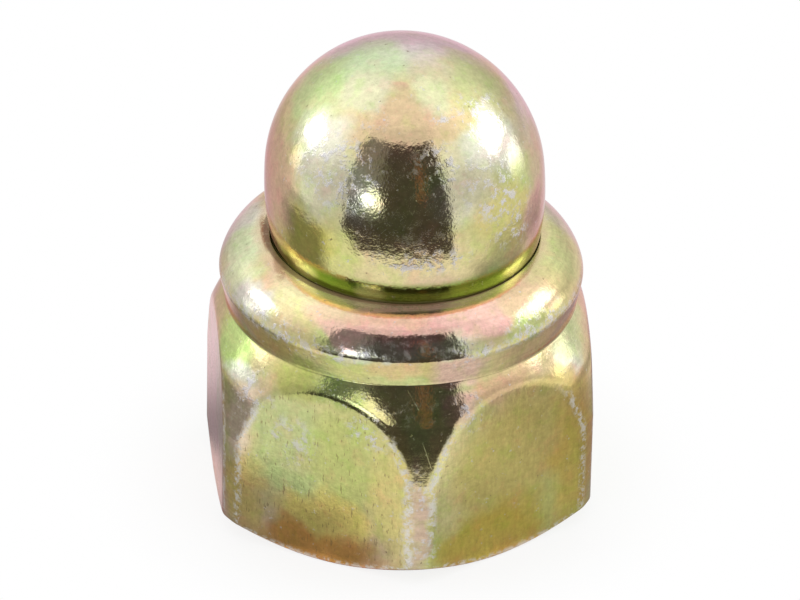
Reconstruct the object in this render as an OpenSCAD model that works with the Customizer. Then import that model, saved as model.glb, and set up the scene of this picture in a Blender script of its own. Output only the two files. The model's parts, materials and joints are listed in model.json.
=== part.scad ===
// Self-locking cap nut, M12. A hexagon nut carries a thin turned collar. The collar
// is rolled in over the flange of a pressed steel dome, and clamps the dome on to a
// nylon ring that grips the bolt.
//
// The origin is the middle of the bearing face. +Z runs up the thread to the dome,
// and two corners of the hexagon lie on the Y axis. All sizes are in millimetres.

/* [Thread] */
// Nominal diameter of the thread
thread_d = 12; // [10:0.5:12.5]
// Pitch of the thread
thread_pitch = 1.75; // [1:0.25:2]
// Diameter of the countersink at the bearing face, as a share of the thread
sink_share = 1.075; // [1.05:0.005:1.1]

/* [Hexagon] */
// Width across the flats
across_flats = 19; // [18.5:0.5:23]
// Height at which the hexagon's shoulder meets the collar
hex_h = 10.95; // [10:0.05:13.2]
// Diameter left over the turned corners, as a share of sharp corners
corner_share = 0.97; // [0.96:0.005:0.985]
// Diameter of the bearing face, as a share of the width across the flats
base_share = 0.985; // [0.94:0.005:0.99]
// Slope of the chamfer under the corners
base_angle = 35; // [25:1:38]
// How far up its shoulder each corner stays upright
corner_rise = 0.3; // [0.1:0.1:0.6]
// Lean of the corners above that, in degrees
corner_lean = 10; // [8:1:12]

/* [Collar] */
// Wall of the collar outside its recess
collar_wall = 1.45; // [1.1:0.05:1.6]
// Height of the collar's straight side
collar_side_h = 1.5; // [0.9:0.1:1.6]
// How far the side draws in on its way down to the hexagon
collar_waist = 0.3; // [0.15:0.05:0.5]
// Lean of the roll where it leaves the straight side, in degrees
roll_lean = 8; // [4:1:16]
// Thickness of the rolled-in lip at its edge
lip_t = 1.1; // [1:0.05:1.5]
// Rounding of the lip's upper edge, at the seam with the dome
lip_edge = 0.1; // [0.05:0.05:0.2]
// Rounding of the lip's lower edge, over the dome's bend
lip_round = 0.35; // [0.3:0.05:0.45]

/* [Locking ring] */
// Height of the nylon ring
ring_h = 2.5; // [2:0.1:3.2]
// How far the ring's seat lies below the top of the hexagon
ring_sink = 0.6; // [0.3:0.1:1]
// Share of the thread's depth that the ring fills
ring_grip = 0.7; // [0.5:0.05:0.9]
// Chamfers on the ring
ring_chamfer = 0.3; // [0.2:0.05:0.4]

/* [Dome] */
// Thickness of the dome's sheet steel
dome_t = 0.5; // [0.4:0.05:0.6]
// Height of the dome's wall above the lip
dome_wall_h = 3.65; // [2.6:0.05:4.5]
// Height of the neck, in which the wall draws in towards the lip
neck_h = 2.4; // [1.8:0.1:2.5]
// How far the wall draws in there
neck_in = 0.25; // [0.1:0.05:0.3]
// Width of the flange that the lip holds
flange_w = 0.95; // [0.75:0.05:1.1]
// Outside radius of the bend between the wall and the flange
bend_r = 0.25; // [0.2:0.05:0.3]

/* [Fits] */
// Gap between the thread and the inside of the dome
thread_gap = 0.6; // [0.4:0.05:0.8]
// Gap between the dome's wall and the lip
lip_gap = 0.05; // [0.03:0.01:0.1]
// Gap round the flange and the ring in the recess
seat_gap = 0.05; // [0.03:0.01:0.1]

/* [Hidden] */
$fn = 144;
// Cuts run this far past the solid
past = 1;
// Forms that are joined run this far into each other
overlap = 0.3;

// Depth of an ISO metric nut thread: five eighths of the height of its sharp triangle
thread_depth = 5 / 8 * thread_pitch * cos(30);
bore_r = thread_d / 2 - thread_depth;
sink_r = sink_share * thread_d / 2;
sink_h = (sink_r - bore_r) * tan(30);

// Radii, from the thread outwards
ring_bore_r = thread_d / 2 - ring_grip * thread_depth;
dome_r = thread_d / 2 + thread_gap + dome_t;
neck_r = dome_r - neck_in;
lip_r = neck_r + lip_gap;
flange_r = neck_r + flange_w;
recess_r = flange_r + seat_gap;
collar_r = recess_r + collar_wall;
corner_r = corner_share * across_flats / 2 / cos(30);
base_r = base_share * across_flats / 2;
chamfer_h = (corner_r - base_r) * tan(base_angle);

// Heights, from the seat of the ring upwards
seat_z = hex_h - ring_sink;
ring_top = seat_z + ring_h;
flange_top = ring_top + dome_t;
lip_top = flange_top + lip_t;
dome_z = lip_top + dome_wall_h;
side_top = hex_h + collar_side_h;

// The shoulder over the corners is an arc as large as the hexagon's inner circle. It
// is upright at corner_h and meets the foot of the collar at hex_h. A cone that leans
// by corner_lean trims it near the corners.
shoulder_r = across_flats / 2;
collar_foot_r = collar_r - collar_waist;
shoulder_reach = collar_foot_r - (corner_r - shoulder_r);
corner_h = hex_h - sqrt(pow(shoulder_r, 2) - pow(shoulder_reach, 2));
corner_side_h = corner_h + corner_rise;
// Height at which the arc leans as much as the cone, and lies farthest outside it
even_h = corner_h + shoulder_r * sin(corner_lean);

// The roll of the collar is an arc from the top of its side to the lip. Where it
// starts, it already leans in by roll_lean.
roll_w = collar_r - lip_r;
roll_h = lip_top - side_top;
roll_r = (pow(roll_w, 2) + pow(roll_h, 2)) / 2 / (roll_w * cos(roll_lean) - roll_h * sin(roll_lean));
roll_x = collar_r - roll_r * cos(roll_lean);
roll_z = side_top - roll_r * sin(roll_lean);
// Height of the roll where the rounding of the lip's upper edge starts
edge_top = roll_z + sqrt(pow(roll_r, 2) - pow(lip_r + lip_edge - roll_x, 2));

// The neck of the dome is an arc that carries on from the upright wall
neck_bend_r = (pow(neck_in, 2) + pow(neck_h, 2)) / (2 * neck_in);
neck_x = dome_r - neck_bend_r;
// Radius at the foot of the neck, for the outside or for a surface inset from it
function neck_foot(inset) = neck_x + sqrt(pow(neck_bend_r - inset, 2) - pow(neck_h, 2));

// What rounding takes off a square corner that points down and left
module corner_cut(r) {
    difference() {
        square(r);
        translate([r, r])
            circle(r = r);
    }
}

// Half section of the turned blank, hexagon and collar together
module blank_section() {
    shoulder_top = hex_h + overlap;
    top_r = corner_r - (shoulder_top - corner_side_h) * tan(corner_lean);
    intersection() {
        polygon([
            [0, 0],
            [base_r, 0],
            [corner_r, chamfer_h],
            [corner_r, corner_side_h],
            [top_r, shoulder_top],
            [0, shoulder_top]
        ]);
        union() {
            translate([corner_r - shoulder_r, corner_h])
                circle(r = shoulder_r);
            square([corner_r + past, even_h]);
        }
    }
    collar_section();
}

// Half section of the collar: the roll, trimmed by the cone of the side, which runs on
// down into the hexagon
module collar_section() {
    cone_top = lip_top + past;
    cone_top_r = collar_r + (cone_top - side_top) * collar_waist / collar_side_h;
    intersection() {
        polygon([
            [0, hex_h - collar_side_h],
            [collar_foot_r - collar_waist, hex_h - collar_side_h],
            [cone_top_r, cone_top],
            [0, cone_top]
        ]);
        union() {
            translate([roll_x, roll_z])
                circle(r = roll_r);
            square([collar_r, side_top - overlap]);
        }
    }
}

// Half section of everything bored out: countersink, thread core, seat and lip
module bore_section() {
    polygon([
        [0, -past],
        [sink_r, -past],
        [sink_r, 0],
        [bore_r, sink_h],
        [bore_r, seat_z - thread_depth],
        [thread_d / 2, seat_z],
        [recess_r, seat_z],
        [recess_r, flange_top],
        [lip_r, flange_top],
        [lip_r, lip_top + past],
        [0, lip_top + past]
    ]);
    translate([lip_r, flange_top])
        corner_cut(lip_round);
    translate([lip_r, edge_top])
        mirror([0, 1])
            corner_cut(lip_edge);
    translate([lip_r, edge_top])
        square([lip_edge, past]);
}

module nut_body() {
    color("#b8ac55")
        intersection() {
            rotate_extrude()
                difference() {
                    blank_section();
                    bore_section();
                }
            rotate([0, 0, 30])
                translate([0, 0, -past])
                    cylinder(r = across_flats / 2 / cos(30), h = lip_top + 2 * past, $fn = 6);
        }
}

module locking_ring() {
    ring_r = recess_r - seat_gap;
    color("#ece9dc")
        rotate_extrude()
            polygon([
                [ring_bore_r + ring_chamfer, seat_z],
                [ring_r - ring_chamfer, seat_z],
                [ring_r, seat_z + ring_chamfer],
                [ring_r, ring_top],
                [ring_bore_r + ring_chamfer, ring_top],
                [ring_bore_r, ring_top - ring_chamfer],
                [ring_bore_r, seat_z + ring_chamfer]
            ]);
}

// Half section of a plug with the dome's form, inset from its outside. It has a round
// end and a neck, and starts at the height foot.
module plug_section(inset, foot) {
    neck_top = lip_top + neck_h;
    r = dome_r - inset;
    translate([0, dome_z])
        intersection() {
            circle(r = r);
            square(r);
        }
    translate([0, neck_top])
        square([r, dome_z - neck_top]);
    intersection() {
        translate([neck_x, neck_top])
            circle(r = neck_bend_r - inset);
        translate([0, foot])
            square([r, neck_top - foot]);
    }
    translate([0, foot])
        square([neck_foot(inset), neck_top - foot]);
}

// Half section of the pressed dome: half sphere, wall, neck, bend and flange
module dome_section() {
    difference() {
        union() {
            plug_section(0, ring_top);
            translate([0, ring_top])
                square([flange_r, dome_t]);
            translate([neck_r, flange_top])
                corner_cut(bend_r);
        }
        plug_section(dome_t, ring_top - past);
        translate([neck_foot(dome_t), ring_top])
            corner_cut(bend_r + dome_t);
    }
}

module dome_cap() {
    color("#bfb35c")
        rotate_extrude()
            dome_section();
}

nut_body();
locking_ring();
dome_cap();
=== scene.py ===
"""Self-locking cap nut: the visual model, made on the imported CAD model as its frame.

A hexagon nut carries a turned collar. The collar is rolled in over the flange of a
pressed dome and clamps it on a nylon locking ring. The nut and the dome are zinc
plated and yellow passivated. Sections are worked out in millimetres, in the frame of
the CAD model, and every mesh is written in metres.
"""

import json
import logging
import math
from collections.abc import Iterable
from dataclasses import dataclass
from enum import Enum

import bpy
import numpy as np
from mathutils import Matrix, Vector


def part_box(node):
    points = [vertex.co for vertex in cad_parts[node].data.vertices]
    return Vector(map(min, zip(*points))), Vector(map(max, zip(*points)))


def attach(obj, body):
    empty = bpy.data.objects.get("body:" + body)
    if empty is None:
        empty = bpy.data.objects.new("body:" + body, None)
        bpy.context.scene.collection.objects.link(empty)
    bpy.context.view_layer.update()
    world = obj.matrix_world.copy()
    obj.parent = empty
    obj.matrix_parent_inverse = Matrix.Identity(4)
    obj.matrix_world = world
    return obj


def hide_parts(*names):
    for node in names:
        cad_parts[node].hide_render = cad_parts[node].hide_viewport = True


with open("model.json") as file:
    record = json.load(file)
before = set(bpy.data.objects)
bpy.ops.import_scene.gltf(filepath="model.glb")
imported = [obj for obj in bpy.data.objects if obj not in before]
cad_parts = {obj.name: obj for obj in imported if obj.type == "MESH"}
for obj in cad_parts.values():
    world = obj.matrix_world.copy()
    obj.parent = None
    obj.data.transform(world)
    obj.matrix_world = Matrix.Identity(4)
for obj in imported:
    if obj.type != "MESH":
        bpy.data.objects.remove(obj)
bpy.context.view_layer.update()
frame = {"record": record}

LOG = logging.getLogger("cap_nut")
MM = 0.001

Colour = tuple[float, float, float]
Place = tuple[float, float, float]
Span = tuple[float, float]
Array = np.ndarray
LEVEL = (1.0, 1.0, 0.0)
HAZE = (0.78, 0.76, 0.78)


# --------------------------------------------------------------------------- sizes


@dataclass(frozen=True)
class NutSizes:
    """Sizes in millimetres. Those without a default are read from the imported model."""

    across_flats: float
    corner_r: float
    seat_z: float
    ring_top: float
    flange_r: float
    dome_top: float
    bore_r: float
    thread_d: float = 12.0
    pitch: float = 1.75
    sink_share: float = 1.075
    base_share: float = 0.985
    base_angle: float = 35.0
    corner_rise: float = 0.3
    corner_lean: float = 10.0
    ring_sink: float = 0.6
    collar_wall: float = 1.45
    collar_side_h: float = 1.5
    collar_waist: float = 0.3
    roll_lean: float = 11.5
    lip_t: float = 1.18
    lip_round: float = 0.35
    dome_t: float = 0.5
    neck_h: float = 2.4
    neck_in: float = 0.25
    flange_w: float = 0.95
    bend_r: float = 0.25
    lip_gap: float = 0.03
    seat_gap: float = 0.05
    ring_grip: float = 0.7
    ring_chamfer: float = 0.3

    @classmethod
    def from_frame(cls) -> "NutSizes":
        """Reads the nodes' boxes and the thread's mount.

        Returns:
            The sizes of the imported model.
        """
        body_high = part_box("nut_body")[1] / MM
        ring_low, ring_high = (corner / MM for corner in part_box("locking_ring"))
        dome_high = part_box("dome_cap")[1] / MM
        thread = next(m for m in frame["record"]["mounts"] if m["name"] == "thread")
        return cls(
            across_flats=2 * body_high.x,
            corner_r=body_high.y,
            seat_z=ring_low.z,
            ring_top=ring_high.z,
            flange_r=dome_high.x,
            dome_top=dome_high.z,
            bore_r=thread["dims"]["r_mm"],
        )

    @property
    def flat_r(self) -> float:
        """Distance from the axis to a flat."""
        return self.across_flats / 2

    @property
    def base_r(self) -> float:
        """Radius of the bearing face."""
        return self.base_share * self.flat_r

    @property
    def sink_r(self) -> float:
        """Radius of the countersink at the bearing face."""
        return self.sink_share * self.thread_d / 2

    @property
    def neck_r(self) -> float:
        """Outside radius of the dome at the foot of its neck."""
        return self.flange_r - self.flange_w

    @property
    def dome_r(self) -> float:
        """Outside radius of the dome."""
        return self.neck_r + self.neck_in

    @property
    def lip_r(self) -> float:
        """Radius of the opening that the lip leaves."""
        return self.neck_r + self.lip_gap

    @property
    def recess_r(self) -> float:
        """Radius of the recess round the ring and the flange."""
        return self.flange_r + self.seat_gap

    @property
    def collar_r(self) -> float:
        """Radius of the collar at its widest."""
        return self.recess_r + self.collar_wall

    @property
    def foot_r(self) -> float:
        """Radius of the collar's foot, on the shoulder."""
        return self.collar_r - self.collar_waist

    @property
    def hex_h(self) -> float:
        """Height of the collar's foot."""
        return self.seat_z + self.ring_sink

    @property
    def side_top(self) -> float:
        """Height at which the collar is widest and its roll begins."""
        return self.hex_h + self.collar_side_h

    @property
    def flange_top(self) -> float:
        """Height of the flange's top, where the lip bears on it."""
        return self.ring_top + self.dome_t

    @property
    def lip_top(self) -> float:
        """Height of the lip's upper edge."""
        return self.flange_top + self.lip_t

    @property
    def neck_top(self) -> float:
        """Height at which the dome's wall starts to draw in."""
        return self.lip_top + self.neck_h

    @property
    def neck_bend_r(self) -> float:
        """Radius of the arc in which the wall draws in."""
        return (self.neck_in**2 + self.neck_h**2) / (2 * self.neck_in)

    @property
    def dome_z(self) -> float:
        """Height of the middle of the dome's half sphere."""
        return self.dome_top - self.dome_r

    @property
    def shoulder_x(self) -> float:
        """Radius at which the middle of the shoulder's arc lies."""
        return self.corner_r - self.flat_r

    @property
    def corner_h(self) -> float:
        """Height at which the shoulder's arc leaves the corner."""
        return self.hex_h - math.sqrt(self.flat_r**2 - (self.foot_r - self.shoulder_x) ** 2)

    @property
    def even_h(self) -> float:
        """Height at which the arc leans as much as the cone over the corners."""
        return self.corner_h + self.flat_r * math.sin(math.radians(self.corner_lean))

    @property
    def roll_r(self) -> float:
        """Radius of the collar's roll.

        Returns:
            The radius of the arc that runs from the side to the lip.
        """
        width = self.collar_r - self.lip_r
        height = self.lip_top - self.side_top
        lean = math.radians(self.roll_lean)
        return (width**2 + height**2) / 2 / (width * math.cos(lean) - height * math.sin(lean))

    @property
    def roll_middle(self) -> Span:
        """Middle of the collar's roll.

        Returns:
            The middle of its arc, as (radius, height).
        """
        lean = math.radians(self.roll_lean)
        return (
            self.collar_r - self.roll_r * math.cos(lean),
            self.side_top - self.roll_r * math.sin(lean),
        )

    @property
    def thread_depth(self) -> float:
        """Depth of the thread."""
        return self.thread_d / 2 - self.bore_r


# ------------------------------------------------------------------- mesh building


def full_turn(count: int) -> Array:
    """Even angles round a full turn, in radians."""
    return np.linspace(0.0, 2 * math.pi, count + 1)[:-1]


def crowd(count: int, crowding: float = 0.85) -> Array:
    """Shares from 0 to 1 that lie closer together towards both ends.

    Args:
        count: Number of steps.
        crowding: 0 for even steps, 1 for steps that shrink most at the ends.

    Returns:
        count + 1 rising shares.
    """
    even = np.linspace(0.0, 1.0, count + 1)
    return crowding * (1.0 - np.cos(math.pi * even)) / 2.0 + (1.0 - crowding) * even


def soft_min(a: Array, b: Array, soft: float) -> Array:
    """The smaller of two radii, rounded where they differ by less than soft."""
    near = np.maximum(soft - np.abs(a - b), 0.0)
    return np.minimum(a, b) - near**2 / (4.0 * soft)


def soft_max(a: Array, b: Array, soft: float) -> Array:
    """The larger of two radii, rounded where they differ by less than soft."""
    return -soft_min(-np.asarray(a), -np.asarray(b), soft)


def arc(centre: Span, radius: float, start: float, end: float, count: int) -> Array:
    """Points of an arc in the (radius, height) plane.

    Args:
        centre: Middle of the arc.
        radius: Radius of the arc.
        start: First angle in degrees, 0 outwards and 90 upwards.
        end: Last angle in degrees.
        count: Number of steps.

    Returns:
        count + 1 points.
    """
    angle = np.radians(np.linspace(start, end, count + 1))
    return np.column_stack((centre[0] + radius * np.cos(angle), centre[1] + radius * np.sin(angle)))


def bend(start: Span, corner: Span, end: Span, count: int) -> Array:
    """Points of a rounded corner in the (radius, height) plane.

    Args:
        start: Where the rounding starts.
        corner: The sharp corner.
        end: Where the rounding ends.
        count: Number of steps.

    Returns:
        count + 1 points.
    """
    t = np.linspace(0.0, 1.0, count + 1)[:, None]
    return (1 - t) ** 2 * np.array(start) + 2 * t * (1 - t) * np.array(corner) + t**2 * np.array(end)


def ease(value: Array, low: float, high: float) -> Array:
    """0 below low, 1 above high and a smooth step between."""
    t = np.clip((value - low) / (high - low), 0.0, 1.0)
    return t * t * (3.0 - 2.0 * t)


def add_mesh(name: str, points: Array, faces: list) -> bpy.types.Object:
    """Makes an object from a mesh and puts it in the scene.

    Args:
        name: Name of the object.
        points: Points in millimetres.
        faces: The numbers of each face's points.

    Returns:
        The new object.
    """
    mesh = bpy.data.meshes.new(name)
    mesh.from_pydata((points * MM).tolist(), [], faces)
    thing = bpy.data.objects.new(name, mesh)
    bpy.context.scene.collection.objects.link(thing)
    return thing


class Skin:
    """A skin made of rings about the Z axis, joined one to the next."""

    def __init__(self, angles: Array) -> None:
        """Starts an empty skin.

        Args:
            angles: The angles, in radians, at which each ring has its points.
        """
        self.angles = angles
        self.points: list[Array] = []
        self.faces: list[Array] = []
        self.count = 0

    def ring(self, radius: Array | float, height: Array | float, every: int = 1) -> Array:
        """Adds one ring.

        Args:
            radius: Radius at each angle, or one for all.
            height: Height at each angle, or one for all.
            every: Takes only one angle in so many.

        Returns:
            The numbers of the ring's points.
        """
        angles = self.angles[::every]
        radii = np.broadcast_to(radius, angles.shape)
        heights = np.broadcast_to(height, angles.shape)
        self.points.append(np.column_stack((radii * np.cos(angles), radii * np.sin(angles), heights)))
        numbers = np.arange(self.count, self.count + len(angles))
        self.count += len(angles)
        return numbers

    def join(self, first: Array, second: Array, closed: bool = True) -> None:
        """Joins two rings of as many points with quads, all round or open at the last."""
        quads = np.column_stack((first, np.roll(first, -1), np.roll(second, -1), second))
        self.faces.append(quads if closed else quads[:-1])

    def rings(self, section: Iterable, start: Array, every: int = 1) -> Array:
        """Adds a ring for each point of a section and joins each to the one before.

        Args:
            section: Pairs of radius and height, each a number or one number per angle.
            start: The ring that the first new one is joined to.
            every: Takes only one angle in so many.

        Returns:
            The last ring.
        """
        for radius, height in section:
            ring = self.ring(radius, height, every)
            self.join(start, ring)
            start = ring
        return start

    def thin_out(self, fine: Array, coarse: Array, closing: bool = False) -> None:
        """Joins a ring to one that has a third of its points.

        Args:
            fine: The ring with three points for each of the other's.
            coarse: The ring with fewer points.
            closing: Whether the skin runs from the coarse ring to the fine one.
        """
        here, there = coarse, np.roll(coarse, -1)
        a, b, c, d = fine[0::3], fine[1::3], fine[2::3], np.roll(fine[0::3], -1)
        for corners in ((a, b, here), (b, c, there, here), (c, d, there)):
            self.faces.append(np.column_stack(corners[::-1] if closing else corners))

    def pole(self, ring: Array, height: float) -> None:
        """Closes the skin at the axis with a fan of triangles.

        Args:
            ring: The ring nearest the axis.
            height: Height of the point on the axis.
        """
        self.points.append(np.array([[0.0, 0.0, height]]))
        tip = np.full(len(ring), self.count)
        self.count += 1
        self.faces.append(np.column_stack((ring, np.roll(ring, -1), tip)))

    def all_points(self) -> Array:
        """Every point so far, in millimetres."""
        return np.concatenate(self.points)

    def volume(self, points: Array) -> float:
        """Six times the volume in the skin, below 0 where its faces turn inwards.

        Args:
            points: The skin's points.

        Returns:
            The signed volume.
        """
        total = 0.0
        for block in self.faces:
            corner = points[block]
            for k in range(1, block.shape[1] - 1):
                cross = np.cross(corner[:, k], corner[:, k + 1])
                total += float(np.einsum("ij,ij->", corner[:, 0], cross))
        return total

    def to_object(self, name: str, points: Array) -> bpy.types.Object:
        """Makes the object, with its faces turned outwards.

        Args:
            name: Name of the object.
            points: The skin's points in millimetres, moved as the piece needs.

        Returns:
            The new object, shaded smooth.
        """
        faces = [face for block in self.faces for face in block.tolist()]
        if self.volume(points) < 0:
            faces = [face[::-1] for face in faces]
        thing = add_mesh(name, points, faces)
        thing.data.shade_smooth()
        return thing


# ------------------------------------------------------------------- shader graphs


class Signal:
    """An output socket that takes part in sums: arithmetic on it adds Math nodes."""

    def __init__(self, graph: "Graph", socket: bpy.types.NodeSocket) -> None:
        """Wraps a socket of a graph."""
        self.graph = graph
        self.socket = socket

    def __add__(self, other: "Signal | float") -> "Signal":
        """Sum."""
        return self.graph.math("ADD", self, other)

    __radd__ = __add__

    def __sub__(self, other: "Signal | float") -> "Signal":
        """Difference."""
        return self.graph.math("SUBTRACT", self, other)

    def __rsub__(self, other: float) -> "Signal":
        """Difference, with this signal taken away."""
        return self.graph.math("SUBTRACT", other, self)

    def __mul__(self, other: "Signal | float") -> "Signal":
        """Product."""
        return self.graph.math("MULTIPLY", self, other)

    __rmul__ = __mul__

    def __abs__(self) -> "Signal":
        """Size without sign."""
        return self.graph.math("ABSOLUTE", self)

    def most(self, other: "Signal | float") -> "Signal":
        """The larger of the two."""
        return self.graph.math("MAXIMUM", self, other)

    def least(self, other: "Signal | float") -> "Signal":
        """The smaller of the two."""
        return self.graph.math("MINIMUM", self, other)

    def rise(self, low: float, high: float) -> "Signal":
        """A smooth step.

        Args:
            low: Value up to which the result is 0.
            high: Value from which it is 1. If it is below low, the step falls.

        Returns:
            The step.
        """
        if low > high:
            return 1.0 - self.rise(high, low)
        ends = {"Value": self, "From Min": low, "From Max": high}
        return self.graph.node("MapRange", {"interpolation_type": "SMOOTHSTEP"}, ends)

    def within(self, width: float, edge: float) -> "Signal":
        """1 within half the width of 0, and 0 beyond, with a soft edge."""
        return abs(self).rise((width + edge) / 2, (width - edge) / 2)


Value = Signal | float | tuple


class Graph:
    """A node tree that is built by expressions."""

    def __init__(self, tree: bpy.types.NodeTree) -> None:
        """Takes over a tree and clears it."""
        self.tree = tree
        tree.nodes.clear()

    def add(self, kind: str, settings: dict | None = None, inputs: dict | None = None) -> bpy.types.Node:
        """Adds a node.

        Args:
            kind: Type of node, without the ShaderNode that all start with.
            settings: Properties, set first.
            inputs: Values or signals for sockets, by name, identifier or number.

        Returns:
            The new node.
        """
        node = self.tree.nodes.new(f"ShaderNode{kind}")
        for name, value in (settings or {}).items():
            setattr(node, name, value)
        for name, value in (inputs or {}).items():
            socket = self.find(node.inputs, name)
            if isinstance(value, Signal):
                self.tree.links.new(value.socket, socket)
            elif socket.type == "RGBA":
                socket.default_value = (*value, 1.0)
            else:
                socket.default_value = value
        return node

    def node(
        self, kind: str, settings: dict | None = None, inputs: dict | None = None, output: str | int = 0
    ) -> Signal:
        """Adds a node as add does, and gives one of its outputs, by name or number."""
        return Signal(self, self.find(self.add(kind, settings, inputs).outputs, output))

    @staticmethod
    def find(sockets: bpy.types.bpy_prop_collection, name: str | int) -> bpy.types.NodeSocket:
        """Finds a socket of a node.

        Args:
            sockets: The node's inputs or outputs.
            name: Name, identifier or number of the socket.

        Returns:
            The socket.
        """
        if isinstance(name, int):
            return sockets[name]
        return next(s for s in sockets if name in (s.name, s.identifier))

    def math(self, operation: str, *values: Value) -> Signal:
        """Adds a Math node."""
        return self.node("Math", {"operation": operation}, dict(enumerate(values)))

    def vector(self, operation: str, *values: Value, output: str = "Vector") -> Signal:
        """Adds a Vector Math node."""
        return self.node("VectorMath", {"operation": operation}, dict(enumerate(values)), output)

    def scale(self, vector: Value, by: Value) -> Signal:
        """A vector times a number."""
        return self.node("VectorMath", {"operation": "SCALE"}, {0: vector, "Scale": by})

    def dot(self, a: Value, b: Value) -> Signal:
        """Scalar product of two vectors."""
        return self.vector("DOT_PRODUCT", a, b, output="Value")

    def length(self, vector: Value) -> Signal:
        """Length of a vector."""
        return self.vector("LENGTH", vector, output="Value")

    def mix(self, share: Value, a: Value, b: Value) -> Signal:
        """Mixes two colours, with the given share of the second."""
        inputs = {"Factor_Float": share, "A_Color": a, "B_Color": b}
        return self.node("Mix", {"data_type": "RGBA"}, inputs, "Result_Color")

    def mix_shaders(self, share: Value, a: Signal, b: Signal) -> Signal:
        """Mixes two shaders, with the given share of the second."""
        return self.node("MixShader", None, {0: share, 1: a, 2: b})

    def axis(self, vector: Signal, index: int) -> Signal:
        """One part of a vector."""
        return self.node("SeparateXYZ", None, {0: vector}, index)

    def compose(self, x: Value, y: Value, z: Value) -> Signal:
        """A vector of three numbers."""
        return self.node("CombineXYZ", None, {0: x, 1: y, 2: z})

    def place(self) -> Signal:
        """Position on the piece in millimetres."""
        return self.scale(self.node("TexCoord", output="Object"), 1.0 / MM)


def new_material(name: str) -> tuple[bpy.types.Material, Graph]:
    """Makes an empty material.

    Args:
        name: Name of the material.

    Returns:
        The material and the graph that it is built with.
    """
    material = bpy.data.materials.new(name)
    material.use_nodes = True
    return material, Graph(material.node_tree)


# ------------------------------------------------------------------------ finishes


# How far out, in reaches, a patch ends, and where it is whole
PATCH_SPAN = (1.2, 0.5)


@dataclass(frozen=True)
class Patch:
    """A soft-edged place on the surface, in millimetres."""

    centre: Place
    reach: Place
    share: float = 1.0

    def mask(self, at: Signal) -> Signal:
        """How much of the patch there is at each point.

        Args:
            at: Position in millimetres.

        Returns:
            The patch's share in its middle, falling to 0 past its reach.
        """
        offset = at.graph.vector("DIVIDE", at.graph.vector("SUBTRACT", at, self.centre), self.reach)
        return at.graph.length(offset).rise(*PATCH_SPAN) * self.share


@dataclass(frozen=True)
class Tint:
    """A patch in which the passivation took another colour; the rows so marked in the tint tables are
    painted highlight instead.
    """

    centre: Place
    reach: Place
    colour: Colour
    share: float = 0.9

    def mask(self, at: Signal) -> Signal:
        """How much of the tint there is at each point."""
        return Patch(self.centre, self.reach, self.share).mask(at)


@dataclass(frozen=True)
class LineMark:
    """A fine straight line mark between two points, in millimetres: a scratched line on the body, and on
    the dome a painted reflection arc.
    """

    start: Place
    end: Place
    width: float
    colour: Colour = (0.84, 0.82, 0.76)

    def mask(self, at: Signal) -> Signal:
        """How much of the scratch there is at each point.

        Args:
            at: Position in millimetres.

        Returns:
            1 on the line, 0 off it.
        """
        graph = at.graph
        run = Vector(self.end) - Vector(self.start)
        offset = graph.vector("SUBTRACT", at, self.start)
        along = graph.dot(offset, tuple(run / run.length_squared)).most(0.0).least(1.0)
        gap = graph.length(graph.vector("SUBTRACT", offset, graph.scale(tuple(run), along)))
        return gap.rise(self.width, 0.3 * self.width)


class Reading(Enum):
    """What is read from a random pattern."""

    NUMBER = "Fac"
    THREE_NUMBERS = "Color"


@dataclass(frozen=True)
class Grain:
    """A random pattern from 0 to 1.

    Its scale is in features per millimetre, detail is the number of finer layers and
    rough their weight. The stretch is by how much more it varies along each axis.
    """

    scale: float
    detail: float = 2.0
    rough: float = 0.5
    stretch: Place | None = None

    def read(self, at: Signal, reading: Reading = Reading.NUMBER) -> Signal:
        """The pattern at each point.

        Args:
            at: Position in millimetres.
            reading: What is read.

        Returns:
            The pattern.
        """
        if self.stretch:
            at = at.graph.vector("MULTIPLY", at, self.stretch)
        inputs = {"Vector": at, "Scale": self.scale, "Detail": self.detail, "Roughness": self.rough}
        return at.graph.node("TexNoise", None, inputs, reading.value)


@dataclass(frozen=True)
class Film:
    """Something that lies on the plating. Metal is 1 where it is bare, less for haze or dirt.

    The share is how much of it there is where it is thickest.
    """

    colour: Colour
    rough: float
    metal: float = 1.0
    share: float = 1.0


@dataclass
class Coat:
    """What a finish is made of while it is built: colour, roughness, relief and metal."""

    colour: Signal
    rough: Signal
    relief: Signal
    metal: Signal | float = 1.0

    def cover(self, mask: Signal, film: Film) -> None:
        """Lays a film over the coat.

        Args:
            mask: Where it is laid.
            film: What it is.
        """
        mask = mask * film.share
        self.colour = mask.graph.mix(mask, self.colour, film.colour)
        self.rough = self.rough + (film.rough - self.rough) * mask
        self.metal = self.metal + (film.metal - self.metal) * mask


@dataclass(frozen=True)
class Finish:
    """A finish, which varies with the position on the piece."""

    name: str

    def material(self) -> bpy.types.Material:
        """Makes the finish's material.

        Returns:
            The new material.
        """
        material, graph = new_material(self.name)
        graph.add("OutputMaterial", None, {"Surface": self.shader(graph.place())})
        return material

    def shader(self, at: Signal) -> Signal:
        """The shader at a position in millimetres. Each finish has its own."""
        raise NotImplementedError


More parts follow.
